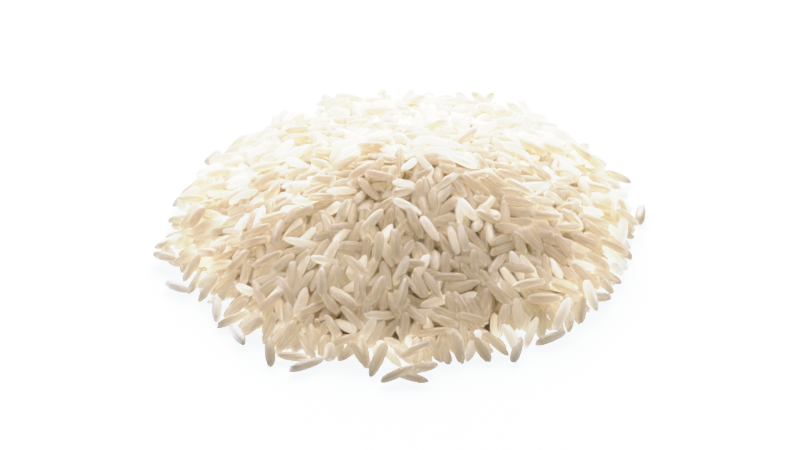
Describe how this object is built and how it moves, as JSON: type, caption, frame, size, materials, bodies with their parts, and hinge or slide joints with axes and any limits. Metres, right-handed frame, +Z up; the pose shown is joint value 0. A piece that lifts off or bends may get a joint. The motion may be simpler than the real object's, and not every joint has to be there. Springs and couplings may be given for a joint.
{
  "type": "heap of white rice",
  "caption": "Low round heap of loose uncooked long-grain white rice with an uneven rim, flat underneath where it rests.",
  "frame": {"origin": "middle of the flat underside, on the surface the heap lies on", "axes": "+Z up out of the surface, +Y away from the viewer, +X to the viewer's right"},
  "size_m": [0.0977, 0.099, 0.0187],
  "materials": {
    "milled_rice": "satin, slightly translucent"
  },
  "bodies": {
    "root": {"rice_heap": "milled_rice"}
  },
  "joints": []
}
